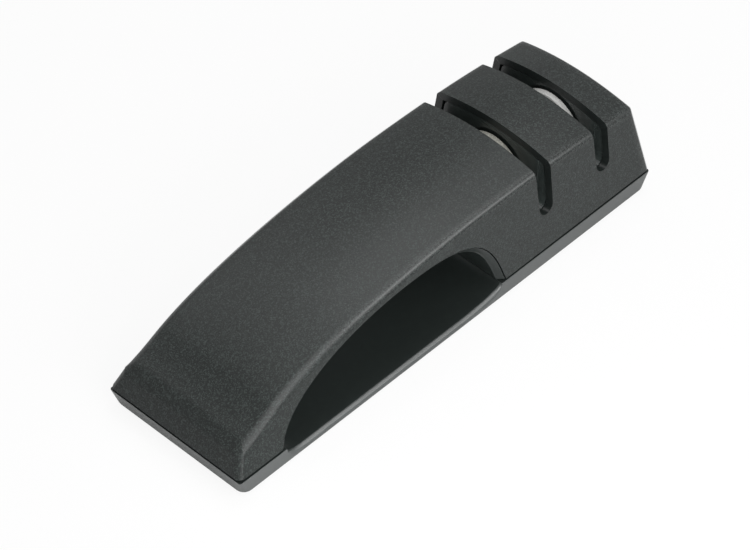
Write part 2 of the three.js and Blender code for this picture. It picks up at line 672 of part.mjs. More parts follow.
const screwHeadZ = RETAINER_BOTTOM + RUN_GAP / 2;
body.add(fourCorners('retainer_screw', screw(RETAINER_SCREW_LENGTH), 'steel',
  RETAINER_SCREW_X, RETAINER_SCREW_Y, screwHeadZ));
body.add(fourCorners('base_screw', screw(BASE_SCREW_LENGTH), 'steel',
  BASE_SCREW_X, BASE_SCREW_Y, BASE_SCREW_Z));
body.add(fourCorners('foot', rubberFoot(), 'rubber', FOOT_X, FOOT_Y, -PARTING_HEIGHT));

export default sharpener;
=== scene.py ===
import json
from math import cos, hypot, pi, radians, sin, sqrt

import bmesh
import bpy
from mathutils import Matrix, Vector


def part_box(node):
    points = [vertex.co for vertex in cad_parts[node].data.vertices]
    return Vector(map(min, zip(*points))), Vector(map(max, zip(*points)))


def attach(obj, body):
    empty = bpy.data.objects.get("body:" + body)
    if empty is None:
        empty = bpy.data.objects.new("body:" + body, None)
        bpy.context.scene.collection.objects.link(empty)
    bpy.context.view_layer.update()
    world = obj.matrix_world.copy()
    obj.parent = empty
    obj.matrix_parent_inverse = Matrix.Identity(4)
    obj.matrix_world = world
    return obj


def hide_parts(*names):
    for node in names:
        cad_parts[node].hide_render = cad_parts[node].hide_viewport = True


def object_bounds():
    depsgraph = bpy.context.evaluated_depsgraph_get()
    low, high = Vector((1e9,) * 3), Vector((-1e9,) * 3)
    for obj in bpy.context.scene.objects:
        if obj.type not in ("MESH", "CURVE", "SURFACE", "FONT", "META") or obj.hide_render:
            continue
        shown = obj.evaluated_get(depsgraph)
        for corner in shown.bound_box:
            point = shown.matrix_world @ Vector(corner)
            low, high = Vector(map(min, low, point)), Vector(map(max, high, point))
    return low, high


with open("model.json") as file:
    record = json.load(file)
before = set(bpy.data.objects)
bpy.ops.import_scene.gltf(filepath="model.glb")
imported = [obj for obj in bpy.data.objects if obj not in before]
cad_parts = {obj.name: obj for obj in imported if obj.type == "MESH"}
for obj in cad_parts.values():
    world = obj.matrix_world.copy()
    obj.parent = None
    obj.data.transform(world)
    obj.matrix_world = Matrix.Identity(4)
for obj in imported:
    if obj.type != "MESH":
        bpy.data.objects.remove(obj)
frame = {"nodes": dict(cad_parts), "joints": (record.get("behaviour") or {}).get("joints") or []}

cad_box = [list(corner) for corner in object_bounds()]

# Camera
# A long lens looks down on the near side from the tail, as in the photograph.
MM = 0.001
AZIMUTH = radians(-46.308)
ELEVATION = radians(45.615)
CAMERA_DISTANCE = 1240.8 * MM
CAMERA_ASIDE = 4.34 * MM
FOCAL_LENGTH = 172.8
SENSOR_WIDTH = 36.0
PARTING_GAP = 0.5

tail_x = cad_box[0][0]
parting_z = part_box("upper_housing")[0].z - PARTING_GAP / 2 * MM
back = Vector((sin(AZIMUTH) * cos(ELEVATION), -cos(AZIMUTH) * cos(ELEVATION), sin(ELEVATION)))
aside = Vector((cos(AZIMUTH), sin(AZIMUTH), 0))
lens = bpy.data.cameras.new("photo_camera")
lens.sensor_width = SENSOR_WIDTH
lens.lens = FOCAL_LENGTH
camera = bpy.data.objects.new("photo_camera", lens)
camera.location = Vector((0, 0, parting_z)) + back * CAMERA_DISTANCE - aside * CAMERA_ASIDE
camera.rotation_euler = back.to_track_quat("Z", "Y").to_euler()
bpy.context.scene.collection.objects.link(camera)
bpy.context.scene.camera = camera
bpy.context.scene.view_settings.view_transform = "Standard"


# Floor, soft boxes and sky
# A white table carries the sharpener. Soft boxes stand at the tail, along the near side and over the
# head, the far side and the top. The white sky gives no light: it is only looked at and mirrored.
class Wire:
    """A shader socket: sums, differences and products of wires add Math nodes."""

    def __init__(self, tree, socket=None):
        self.tree = tree
        self.socket = socket

    def node(self, kind, settings=None, sockets=None, output=0):
        made = self.tree.nodes.new(kind)
        for name, value in (settings or {}).items():
            setattr(made, name, value)
        for name, value in (sockets or {}).items():
            if isinstance(value, Wire):
                self.tree.links.new(value.socket, made.inputs[name])
            else:
                made.inputs[name].default_value = value
        return Wire(self.tree, made.outputs[output] if made.outputs else None)

    def maths(self, operation, first, second):
        return self.node("ShaderNodeMath", {"operation": operation}, {0: first, 1: second})

    def __add__(self, other):
        return self.maths("ADD", self, other)

    __radd__ = __add__

    def __sub__(self, other):
        return self.maths("SUBTRACT", self, other)

    def __rsub__(self, other):
        return self.maths("SUBTRACT", other, self)

    def __mul__(self, other):
        return self.maths("MULTIPLY", self, other)

    __rmul__ = __mul__


def new_finish(name):
    material = bpy.data.materials.new(name)
    material.use_nodes = True
    material.node_tree.nodes.clear()
    return material, Wire(material.node_tree)


FLOOR_REACH = 4.0
FLOOR_WHITE = (0.9, 0.9, 0.9, 1)
FLOOR_GLOW = 0.9
MIRRORED_GLOW = 0.18
SKY_SEEN = 1.0
SKY_MIRRORED = 0.75
PURE_WHITE = (1, 1, 1, 1)


def seen_rays(wire, straight_share, mirrored_share):
    """Shares for what is looked at straight, and for what is seen mirrored or through glass."""
    straight = wire.node("ShaderNodeLightPath", output="Is Camera Ray")
    mirrored = wire.node("ShaderNodeLightPath", output="Is Glossy Ray")
    through = wire.node("ShaderNodeLightPath", output="Is Transmission Ray")
    return straight * straight_share + wire.maths("MAXIMUM", mirrored, through) * mirrored_share


def floor_finish():
    material, wire = new_finish("white_table")
    lit = wire.node("ShaderNodeBsdfDiffuse", None, {"Color": FLOOR_WHITE})
    glow = wire.node("ShaderNodeEmission", None, {"Color": PURE_WHITE})
    share = seen_rays(wire, FLOOR_GLOW, MIRRORED_GLOW)
    mixed = wire.node("ShaderNodeMixShader", None, {0: share, 1: lit, 2: glow})
    wire.node("ShaderNodeOutputMaterial", None, {"Surface": mixed})
    return material


def place_object(name, data):
    piece = bpy.data.objects.new(name, data)
    bpy.context.scene.collection.objects.link(piece)
    return piece


def mesh_of(name, form):
    mesh = bpy.data.meshes.new(name)
    form.to_mesh(mesh)
    form.free()
    return mesh


floor_form = bmesh.new()
bmesh.ops.create_grid(floor_form, x_segments=1, y_segments=1, size=FLOOR_REACH)
floor_mesh = mesh_of("table_top", floor_form)
floor_mesh.materials.append(floor_finish())
place_object("table_top", floor_mesh)

sky = bpy.data.worlds.new("studio")
sky.use_nodes = True
sky.node_tree.nodes.clear()
sky_wire = Wire(sky.node_tree)
sky_strength = seen_rays(sky_wire, SKY_SEEN, SKY_MIRRORED)
sky_light = sky_wire.node("ShaderNodeBackground", None, {"Color": PURE_WHITE, "Strength": sky_strength})
sky_wire.node("ShaderNodeOutputWorld", None, {"Surface": sky_light})
bpy.context.scene.world = sky


def soft_box(name, direction, distance, width, height, watts):
    """An area light that faces the middle of the object; distance and size are in metres."""
    light = bpy.data.lights.new(name, "AREA")
    light.shape = "RECTANGLE"
    light.size = width
    light.size_y = height
    light.energy = watts
    box = place_object(name, light)
    box.location = Vector(direction).normalized() * distance
    box.rotation_euler = Vector(direction).to_track_quat("Z", "Y").to_euler()


soft_box("tail_box", (-0.927, 0.0, 0.375), 1.1, 0.8, 0.8, 0.9)
soft_box("near_tail_box", (-0.45, -0.8, 0.4), 0.35, 0.25, 0.25, 0.75)
soft_box("near_strip", (0.18, -0.78, 0.47), 1.1, 1.2, 0.3, 3.6)
soft_box("near_top_strip", (0.15, -0.5, 0.8), 1.1, 1.0, 0.4, 3.3)
soft_box("head_box", (0.40, 0.1, 0.9), 1.1, 0.55, 0.55, 2.7)
soft_box("far_side_box", (0.0, 0.574, 0.819), 1.1, 0.8, 0.8, 2.2)
soft_box("overhead_box", (0.001, 0.0, 1.0), 1.1, 0.8, 0.8, 2.0)

# Upper housing
# One moulded shell of fine-textured black plastic: arched handle, grip opening and two knife slots.
# It is pressed over the base's tongue and held from below by four screws.
LENGTH = (cad_box[1][0] - cad_box[0][0]) / MM
HALF_WIDTH = (cad_box[1][1] - cad_box[0][1]) / MM / 2
SHELL_WALL = 3.0
SEAM = 1.1
SHELL_FOOT = SEAM / 2

FOLD = (4.3, 10.26)
KNEE = (17.36, 16.56)
CREST = (122.0, 34.6)
END_CLEAR = 0.02
HEAD_FOOT = LENGTH - END_CLEAR
HEAD_TOP = (LENGTH - 5.6, 29.9)
TAIL_LINE = (FOLD, (10.17, 12.61), (12.13, 13.52), KNEE)
ARCH_LINE = (KNEE, (41.2, 30.45), (93.7, 34.6), CREST)
FALL_LINE = (CREST, (161.7, 34.6), (174.4, 33.15), HEAD_TOP)
CROWN = 3.26
FOLD_CROWN = 0.45
HEAD_CROWN = 3.9
CROWN_FULL_X = 60.0
TAIL_INSET = 4.1
HEAD_INSET = 4.9

GRIP_TAIL = 20.0
GRIP_HEAD = 129.2
GRIP_TAIL_ARC = ((GRIP_TAIL, 0), (GRIP_TAIL + 3.3, 14.5), (49.6, 28.6), (88.0, 28.6))
GRIP_HEAD_ARC = ((88.0, 28.6), (117.7, 28.6), (GRIP_HEAD - 5, 19.8), (GRIP_HEAD, 0))
GRIP_STEPS = 24

SLOTS = (151.6, 181.4)
SLOT_HALF = 3.4
SLOT_FLARE = 0.4
SLOT_SPRING = 17.9
SLOT_STEPS = 10

RIDGE_GAP = 3.3
LOWER_ROWS = 4
UPPER_ROWS = 4
CROWN_SHARES = (0.87, 0.72, 0.56, 0.38, 0.2, 0)
PLAIN_COLUMNS = 4
SKIN_MERGE = 0.01
HALVINGS = 40
BEVEL_WIDTH = 3.0
SHARP = radians(25)


def at(x, y, z):
    """A point from millimetres along from the tail, across, and up from the parting line."""
    return Vector((tail_x + x * MM, y * MM, parting_z + z * MM))


def curve_point(points, t):
    weights = ((1 - t) ** 3, 3 * t * (1 - t) ** 2, 3 * t * t * (1 - t), t ** 3)
    return tuple(sum(w * p[axis] for w, p in zip(weights, points)) for axis in (0, 1))


def curve_height(points, x):
    low, high = 0.0, 1.0
    for _ in range(HALVINGS):
        middle = (low + high) / 2
        if curve_point(points, middle)[0] < x:
            low = middle
        else:
            high = middle
    return curve_point(points, low)[1]


def edge_height(x):
    """Height of the housing's upper edge over the parting line."""
    for line in (TAIL_LINE, ARCH_LINE, FALL_LINE):
        if x <= line[-1][0]:
            return curve_height(line, x)
    return HEAD_TOP[1]


def edge_inset(x):
    return TAIL_INSET + (HEAD_INSET - TAIL_INSET) * x / LENGTH


def eased(x, start, stop):
    """0 before start, 1 past stop, with a soft way between."""
    share = min(max((x - start) / (stop - start), 0), 1)
    return share * share * (3 - 2 * share)


def crown_at(x):
    """Rise of the top's middle over its edges: least at the fold, most at the head."""
    rise = FOLD_CROWN + (CROWN - FOLD_CROWN) * eased(x, FOLD[0], CROWN_FULL_X)
    return rise + (HEAD_CROWN - CROWN) * eased(x, CREST[0], HEAD_TOP[0])


def side_y(x, z):
    """Half width of the leaning side at a place on it."""
    return HALF_WIDTH - edge_inset(x) * z / edge_height(max(x, FOLD[0]))


def steps(start, stop, count):
    return [start + (stop - start) * k / count for k in range(count + 1)]


def grip_points():
    tail = [curve_point(GRIP_TAIL_ARC, t) for t in steps(0, 1, GRIP_STEPS)]
    head = [curve_point(GRIP_HEAD_ARC, t) for t in steps(0, 1, GRIP_STEPS)]
    return tail + head[1:]


def upright(x, foot_x=None, foot_z=SHELL_FOOT, spring=None):
    """One column of the side: its foot, the place where the slots spring from, and its top."""
    top_z = edge_height(x)
    foot_x = x if foot_x is None else foot_x
    share = SLOT_SPRING / (edge_height(max(x, GRIP_HEAD)) - RIDGE_GAP)
    spring_z = foot_z + share * (top_z - RIDGE_GAP - foot_z) if spring is None else spring
    spring_x = foot_x + (x - foot_x) * (spring_z - foot_z) / (top_z - foot_z)
    return (foot_x, foot_z), (spring_x, spring_z), (x, top_z)


def slot_columns(centre):
    columns = []
    for angle in steps(0, pi, SLOT_STEPS):
        x = centre - SLOT_HALF * cos(angle)
        spring = SLOT_SPRING - SLOT_HALF * sin(angle)
        columns.append(upright(x, x, SHELL_FOOT, spring))
    for end, way in ((0, -1), (-1, 1)):
        foot, middle, top = columns[end]
        top_x = top[0] + way * SLOT_FLARE
        columns[end] = (foot, middle, (top_x, edge_height(top_x)))
    return columns


def housing_columns():
    columns = []
    for x in steps(FOLD[0], GRIP_TAIL, PLAIN_COLUMNS)[:-1]:
        columns.append(upright(x, (x - FOLD[0]) * GRIP_TAIL / (GRIP_TAIL - FOLD[0])))
    for x, z in grip_points():
        columns.append(upright(x, x, max(z, SHELL_FOOT)))
    reach = SLOT_HALF + SLOT_FLARE
    for x in steps(GRIP_HEAD, SLOTS[0] - reach, PLAIN_COLUMNS)[1:-1]:
        columns.append(upright(x))
    columns.extend(slot_columns(SLOTS[0]))
    for x in steps(SLOTS[0] + reach, SLOTS[1] - reach, PLAIN_COLUMNS)[1:-1]:
        columns.append(upright(x))
    columns.extend(slot_columns(SLOTS[1]))
    start = SLOTS[1] + reach
    for x in steps(start, HEAD_TOP[0], PLAIN_COLUMNS)[1:]:
        columns.append(upright(x, start + (x - start) * (HEAD_FOOT - start) / (HEAD_TOP[0] - start)))
    return columns


def patch(form, columns, rows, place):
    """A grid of faces whose corners are put where place(column, row) says."""
    made = bmesh.ops.create_grid(form, x_segments=columns, y_segments=rows, size=1)
    for vert in made["verts"]:
        column = round((vert.co.x + 1) / 2 * columns)
        row = round((vert.co.y + 1) / 2 * rows)
        vert.co = place(column, row)


def between(first, second, share):
    return tuple(a + (b - a) * share for a, b in zip(first, second))


def column_point(column, row):
    """A place on a column of the side, as (x, z)."""
    foot, spring, top = column
    if row <= LOWER_ROWS:
        return between(foot, spring, row / LOWER_ROWS)
    if row == LOWER_ROWS + UPPER_ROWS:
        return top
    under = between(spring, top, 1 - RIDGE_GAP / (top[1] - spring[1]))
    return between(spring, under, (row - LOWER_ROWS) / (UPPER_ROWS - 1))


def in_slot(point):
    x = (point.x - tail_x) / MM
    z = (point.z - parting_z) / MM
    for centre in SLOTS:
        off = abs(x - centre)
        if off < SLOT_HALF + SLOT_FLARE / 2:
            rise = sqrt(max(SLOT_HALF ** 2 - off ** 2, 0))
            if z > SLOT_SPRING - rise:
                return True
    return False


def housing_skin():
    form = bmesh.new()
    columns = housing_columns()
    rows = LOWER_ROWS + UPPER_ROWS
    across = [-share for share in (1,) + CROWN_SHARES] + list(reversed((1,) + CROWN_SHARES[:-1]))
    last = len(columns) - 1

    def side_point(column, row, side):
        x, z = column_point(columns[column], row)
        top_x, top_z = columns[column][2]
        return at(x, side * (HALF_WIDTH - edge_inset(top_x) * z / top_z), z)

    def top_point(column, row):
        x, z = columns[column][2]
        y = across[row] * (HALF_WIDTH - edge_inset(x))
        rise = crown_at(x) * (1 - across[row] ** 2)
        tail_pull = max(1 - (x - FOLD[0]) / (GRIP_TAIL - FOLD[0]), 0)
        tail_pull *= FOLD[0] / (FOLD[1] - SHELL_FOOT)
        head_start = columns[last - PLAIN_COLUMNS][2][0]
        head_pull = max((x - head_start) / (HEAD_TOP[0] - head_start), 0)
        head_pull *= (HEAD_FOOT - HEAD_TOP[0]) / (HEAD_TOP[1] - SHELL_FOOT)
        return at(x + rise * (tail_pull - head_pull), y, z + rise)

    def end_point(column, row, share):
        x, z = column_point(columns[column], row)
        top_x, top_z = columns[column][2]
        foot_x = columns[column][0][0]
        y = share * (HALF_WIDTH - edge_inset(top_x) * z / top_z)
        rise = crown_at(top_x) * (1 - share ** 2) * (z - SHELL_FOOT) / (top_z - SHELL_FOOT)
        lean = (top_x - foot_x) / (top_z - SHELL_FOOT)
        return at(x + rise * lean, y, z + rise)

    patch(form, last, rows, lambda column, row: side_point(column, row, -1))
    patch(form, last, rows, lambda column, row: side_point(column, row, 1))
    patch(form, last, len(across) - 1, top_point)
    for column in (0, last):
        patch(form, len(across) - 1, rows, lambda k, row: end_point(column, row, across[k]))
    bmesh.ops.remove_doubles(form, verts=form.verts, dist=SKIN_MERGE * MM)
    bmesh.ops.recalc_face_normals(form, faces=form.faces)
    cut = [face for face in form.faces if in_slot(face.calc_center_median())]
    bmesh.ops.delete(form, geom=cut, context="FACES")
    return form


FOLD_ROUND = 3.0
TAIL_RIDGE_ROUND = 2.5
HEAD_RIDGE_ROUND = 1.35
RIDGE_FADE = (30.0, 140.0)
RIDGE_FULLNESS = 0.36
WEAR_FADE = (8.0, 75.0)
HEAD_END_ROUND = 1.1
CORNER_ROUND = 1.8
CUT_ROUND = 0.4
CUT_ANGLE = radians(50)
RIDGE_SEGMENTS = 6
CUT_SEGMENTS = 3
LIES_ACROSS = 0.5
LIES_ALONG = 0.6


def weigh_edges(form, choose):
    """Gives each edge the share of the bevel width that choose asks for."""
    layer = form.edges.layers.float.new("bevel_weight_edge")
    for edge in form.edges:
        edge[layer] = choose(edge) / BEVEL_WIDTH


def housing_round(edge):
    if edge.is_boundary or edge.calc_face_angle() < SHARP:
        return 0
    ends = [vert.co for vert in edge.verts]
    way = (ends[0] - ends[1]).normalized()
    x = ((ends[0].x + ends[1].x) / 2 - tail_x) / MM
    if abs(way.y) > LIES_ACROSS:
        return FOLD_ROUND if x < GRIP_TAIL else HEAD_END_ROUND
    if abs(way.x) > LIES_ALONG:
        return TAIL_RIDGE_ROUND + (HEAD_RIDGE_ROUND - TAIL_RIDGE_ROUND) * eased(x, *RIDGE_FADE)
    return CORNER_ROUND


def wear_ridges(form):
    """Marks the long ridges and the head's edges as rubbed by the hand, less towards the tail."""
    layer = form.verts.layers.float.new("worn_edge")
    for edge in form.edges:
        if housing_round(edge) not in (0, FOLD_ROUND):
            for vert in edge.verts:
                vert[layer] = eased((vert.co.x - tail_x) / MM, *WEAR_FADE)


def finish_piece(name, mesh, material, body, node):
    """Turns a mesh into a shown piece that stands for a CAD node and rides on a body."""
    mesh.shade_smooth()
    mesh.materials.clear()
    mesh.materials.append(material)
    piece = place_object(name, mesh)
    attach(piece, body)
    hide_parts(node)
    return piece


def round_edges(piece, segments=4, fullness=0.5):
    """Rounds the weighed edges of a piece; a fullness under a half leans towards a chamfer."""
    bevel = piece.modifiers.new("rounded_edges", "BEVEL")
    bevel.limit_method = "WEIGHT"
    bevel.width = BEVEL_WIDTH * MM
    bevel.segments = segments
    bevel.profile = fullness
    bevel.use_clamp_overlap = False


def even_shading(piece):
    normals = piece.modifiers.new("even_shading", "WEIGHTED_NORMAL")
    normals.keep_sharp = True


FLOW_SCALE = 45.0
FLOW_DETAIL = 2.0
FLOW_TONE = 0.06
FLOW_DULLNESS = 0.04
SPECK_DARKER = 0.6
SPECK_LIGHTER = 1.8
SPECK_DULLNESS = 0.2
RUBBED_SMOOTHER = 0.65
POLISH_ROUGHNESS = 0.28


def moulded(name, colour, roughness, grain, depth, fleck, metallic=0.0, gloss=0.5, worn=0.0):
    """A grained surface: grain and depth in millimetres, fleck the change of its tone.

    Where the mesh's worn_edge is 1, it is rubbed smooth to the share worn, with a polish over it.
    """
    material, wire = new_finish(name)
    place = wire.node("ShaderNodeTexCoord", output="Object")
    grains = wire.node("ShaderNodeTexNoise", None, {
        "Vector": place, "Scale": 1 / (grain * MM), "Detail": 1.0, "Roughness": 0.5}, "Fac")
    cells = wire.node("ShaderNodeTexVoronoi", None, {"Vector": place, "Scale": 1 / (grain * MM)}, "Color")
    speck = wire.node("ShaderNodeSeparateColor", None, {"Color": cells}, "Red")
    flow = wire.node("ShaderNodeTexNoise", None, {
        "Vector": place, "Scale": FLOW_SCALE, "Detail": FLOW_DETAIL}, "Fac")
    dark = tuple(value * (1 - SPECK_DARKER * fleck) for value in colour) + (1,)
    light = tuple(value * (1 + SPECK_LIGHTER * fleck) for value in colour) + (1,)
    shade = wire.node("ShaderNodeMix", {"data_type": "RGBA"}, {
        "Factor": speck * speck * speck + (flow - 0.5) * FLOW_TONE, 6: dark, 7: light}, 2)
    edge = wire.node("ShaderNodeAttribute", {"attribute_name": "worn_edge"}, None, "Fac")
    rubbed = edge * edge * worn
    kept = 1 - RUBBED_SMOOTHER * rubbed
    bump = wire.node("ShaderNodeBump", None, {
        "Height": grains * kept, "Strength": 1.0, "Distance": depth * MM})
    uneven = (flow - 0.5) * FLOW_DULLNESS + (speck - 0.5) * SPECK_DULLNESS * fleck
    dullness = (roughness + uneven) * kept
    surface = wire.node("ShaderNodeBsdfPrincipled", None, {
        "Base Color": shade, "Roughness": dullness, "Normal": bump,
        "Metallic": metallic, "Specular IOR Level": gloss, "Coat Weight": rubbed,
        "Coat Roughness": POLISH_ROUGHNESS})
    wire.node("ShaderNodeOutputMaterial", None, {"Surface": surface})
    return material


housing_plastic = moulded("textured_black_plastic", (0.0175, 0.0214, 0.0203), roughness=0.36, grain=0.4,
                          depth=0.06, fleck=0.7, gloss=0.28, worn=0.8)
cut_plastic = moulded("smooth_cut_plastic", (0.015, 0.0185, 0.0175), roughness=0.3, grain=2.0,
                      depth=0.001, fleck=0.04, gloss=0.35)
skin = housing_skin()
weigh_edges(skin, housing_round)
wear_ridges(skin)
housing_mesh = mesh_of("housing_shell", skin)
housing = finish_piece("housing_shell", housing_mesh, housing_plastic, "body", "upper_housing")
round_edges(housing, RIDGE_SEGMENTS, RIDGE_FULLNESS)
wall = housing.modifiers.new("wall", "SOLIDIFY")
wall.thickness = SHELL_WALL * MM
wall.offset = -1
wall.use_even_offset = True
wall.use_quality_normals = True
housing.data.materials.append(cut_plastic)
wall.material_offset = 1
wall.material_offset_rim = 1
cut = housing.modifiers.new("rounded_cuts", "BEVEL")
cut.limit_method = "ANGLE"
cut.angle_limit = CUT_ANGLE
cut.width = CUT_ROUND * MM
cut.segments = CUT_SEGMENTS
cut.profile = 0.5
even_shading(housing)

# Grip liner
# A smooth black arch moulded separately and slid into the opening before the base goes on.
# Its slanted lips cover the housing's cut edge; its ends stand on the base.
LIP_GAP = 0.35
LIP_DEPTH = 2.0
LIP_START = 0.3
LINER_WALL = 2.8
LIP_BULGE = 0.12
LIP_STEPS = 6
NOSE_ROUND = 0.35
NOSE_STEPS = 3
POINT_MERGE = 0.001
KEPT_SHARP = radians(40)


def lip_section():
    """Half of the liner's section: (depth from the side, reach into the opening)."""
    slant = []
    for share in steps(0, 1, LIP_STEPS):
        bulge = LIP_BULGE * sin(pi * share)
        depth = LIP_START + (LIP_DEPTH - LIP_START) * share - bulge
        slant.append((depth, LIP_GAP + (LINER_WALL - NOSE_ROUND - LIP_GAP) * share))
    nose = []
    for angle in steps(0, pi / 2, NOSE_STEPS)[1:]:
        depth = LIP_DEPTH + NOSE_ROUND * (1 - cos(angle))
        nose.append((depth, LINER_WALL - NOSE_ROUND + NOSE_ROUND * sin(angle)))
    return slant + nose


def grip_path():
    """Points of the opening's outline with the direction into the opening."""
    points = grip_points()
    path = []
    for k, (x, z) in enumerate(points):
        before = points[max(k - 1, 0)]
        after = points[min(k + 1, len(points) - 1)]
        run, rise = after[0] - before[0], after[1] - before[1]
        size = hypot(run, rise)
        path.append((x, z, rise / size, -run / size))
    return path


def liner_form():
    form = bmesh.new()
    path = grip_path()
    half = lip_section()
    section = [(1, depth, reach) for depth, reach in half]
    section += [(-1, depth, reach) for depth, reach in reversed(half)]
    section.append(section[0])

    def liner_point(column, row):
        x, z, inward_x, inward_z = path[column]
        side, depth, reach = section[row]
        y = side_y(x, z) - depth
        return at(x + inward_x * reach, -side * y, max(z + inward_z * reach, SHELL_FOOT))

    patch(form, len(path) - 1, len(section) - 1, liner_point)
    bmesh.ops.remove_doubles(form, verts=form.verts, dist=POINT_MERGE * MM)
    bmesh.ops.holes_fill(form, edges=[edge for edge in form.edges if edge.is_boundary], sides=0)
    bmesh.ops.recalc_face_normals(form, faces=form.faces)
    return form


# The same darker, duller plastic is also laid on the base's scoop floor and seam ledge below, as painted
# shade.
liner_plastic_and_painted_shade = moulded("liner_black_plastic_and_painted_shade", (0.0185, 0.0228, 0.0216), roughness=0.34, grain=2.0,
                        depth=0.002, fleck=0.04, gloss=0.25)
liner_mesh = mesh_of("grip_arch_liner", liner_form())
liner = finish_piece("grip_arch_liner", liner_mesh, liner_plastic_and_painted_shade, "body", "grip_liner")
liner.data.set_sharp_from_angle(angle=KEPT_SHARP)

# Base tray
# A smooth black tray under the housing; inside the opening it drops in two scoops to a thin floor.
# Four screws from below hold it to the housing, and four rubber feet sit in its recesses.
BASE_HEIGHT = 7.6
BASE_FLOOR = -5.0
BASE_RIM = -SEAM / 2
BASE_END_DRAW = 1.8
BASE_SIDE_DRAW = 0.2
BASE_LOW_CORNER = 3.6
BASE_TOP_CORNER = 1.0
SCOOP_TAIL = GRIP_TAIL + 2.0
SCOOP_HEAD = GRIP_HEAD - 2.0
TAIL_SCOOP = ((SCOOP_TAIL, 0), (SCOOP_TAIL, -3.3), (SCOOP_TAIL + 3, BASE_FLOOR), (SCOOP_TAIL + 9, BASE_FLOOR))
HEAD_SCOOP = ((SCOOP_HEAD - 22, BASE_FLOOR), (SCOOP_HEAD - 7.3, BASE_FLOOR), (SCOOP_HEAD, -3.3),
              (SCOOP_HEAD, 0))
SCOOP_STEPS = 12
FLAT_STEPS = 10
TAIL_RIM_PLACES = (7.0, 14.0)
HEAD_RIM_PLACES = (140.0, 160.0, 180.0, LENGTH - 7.0)
BASE_ACROSS = (-1, -0.9, -0.5, 0, 0.5, 0.9, 1)
CORNER_STEPS = 5
BASE_ROWS = 1
LIP_ROUND = 1.8
SCOOP_LIP = 2.0
BASE_FOOT_ROUND = 0.7
BASE_RIM_ROUND = 0.12
BASE_SHARP = radians(35)
FOOT_EDGE_BAND = 0.01
LIP_FADE_START = 0.5
LIP_FADE = 2.0
HOLE_SEGMENTS = 48


def base_tops():
    """Places along the side of the base, each with the height of its upper edge."""
    tops = [(x, BASE_RIM) for x in TAIL_RIM_PLACES]
    tail_scoop = [curve_point(TAIL_SCOOP, t) for t in steps(0, 1, SCOOP_STEPS)]
    tops += [(x, min(z, BASE_RIM)) for x, z in tail_scoop]
    start, stop = tops[-1][0], HEAD_SCOOP[0][0]
    tops += [(x, BASE_FLOOR) for x in steps(start, stop, FLAT_STEPS)[1:-1]]
    head_scoop = [curve_point(HEAD_SCOOP, t) for t in steps(0, 1, SCOOP_STEPS)]
    tops += [(x, min(z, BASE_RIM)) for x, z in head_scoop]
    tops += [(x, BASE_RIM) for x in HEAD_RIM_PLACES]
    return tops


def base_loop(share):
    """The base's plan outline at a share of its height, with the height of each place."""
    ends = END_CLEAR + BASE_END_DRAW * (1 - share)
    half = HALF_WIDTH - BASE_SIDE_DRAW * (1 - share)
    radius = BASE_LOW_CORNER + (BASE_TOP_CORNER - BASE_LOW_CORNER) * share
    level = -BASE_HEIGHT + (BASE_RIM + BASE_HEIGHT) * share
    loop = []

    def corner(centre_x, centre_y, start):
        for angle in steps(start, start + pi / 2, CORNER_STEPS):
            loop.append((centre_x + radius * cos(angle), centre_y + radius * sin(angle), level))

    tops = base_tops()
    corner(ends + radius, radius - half, pi)
    for x, top in tops:
        loop.append((x, -half, -BASE_HEIGHT + (top + BASE_HEIGHT) * share))
    corner(LENGTH - ends - radius, radius - half, 1.5 * pi)
    corner(LENGTH - ends - radius, half - radius, 0)
    for x, top in reversed(tops):
        loop.append((x, half, -BASE_HEIGHT + (top + BASE_HEIGHT) * share))
    corner(ends + radius, half - radius, pi / 2)
    loop.append(loop[0])
    return loop


def base_form():
    form = bmesh.new()
    loops = [base_loop(share) for share in steps(0, 1, BASE_ROWS)]
    patch(form, len(loops[0]) - 1, BASE_ROWS, lambda column, row: at(*loops[row][column]))
    bmesh.ops.remove_doubles(form, verts=form.verts, dist=POINT_MERGE * MM)
    tops = base_tops()
    patch(form, len(tops) - 1, len(BASE_ACROSS) - 1,
          lambda column, row: at(tops[column][0], BASE_ACROSS[row] * HALF_WIDTH, tops[column][1]))
    bmesh.ops.remove_doubles(form, verts=form.verts, dist=POINT_MERGE * MM)
    bmesh.ops.holes_fill(form, edges=[edge for edge in form.edges if edge.is_boundary], sides=0)
    bmesh.ops.recalc_face_normals(form, faces=form.faces)
    return form


def base_round(edge):
    if edge.calc_face_angle() < BASE_SHARP:
        return 0
    level = (sum(vert.co.z for vert in edge.verts) / 2 - parting_z) / MM
    if level < -BASE_HEIGHT + FOOT_EDGE_BAND:
        return BASE_FOOT_ROUND
    drop = min(max((-level - LIP_FADE_START) / LIP_FADE, 0), 1)
    return BASE_RIM_ROUND + (LIP_ROUND - BASE_RIM_ROUND) * drop


def middle_of(node):
    low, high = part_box(node)
    return (low + high) / 2


def bar(form, low, high):
    """A plain block between two corners given in millimetres."""
    corner, other = at(*low), at(*high)
    spread = Matrix.Diagonal((*(other - corner), 1))
    bmesh.ops.create_cube(form, size=1, matrix=Matrix.Translation((corner + other) / 2) @ spread)


def hole(form, node, radius, low, high):
    """A round upright hole about the middle of a CAD node."""
    centre = middle_of(node)
    centre.z = parting_z + (low + high) / 2 * MM
    bmesh.ops.create_cone(form, cap_ends=True, segments=HOLE_SEGMENTS, radius1=radius * MM,
                          radius2=radius * MM, depth=(high - low) * MM,
                          matrix=Matrix.Translation(centre))


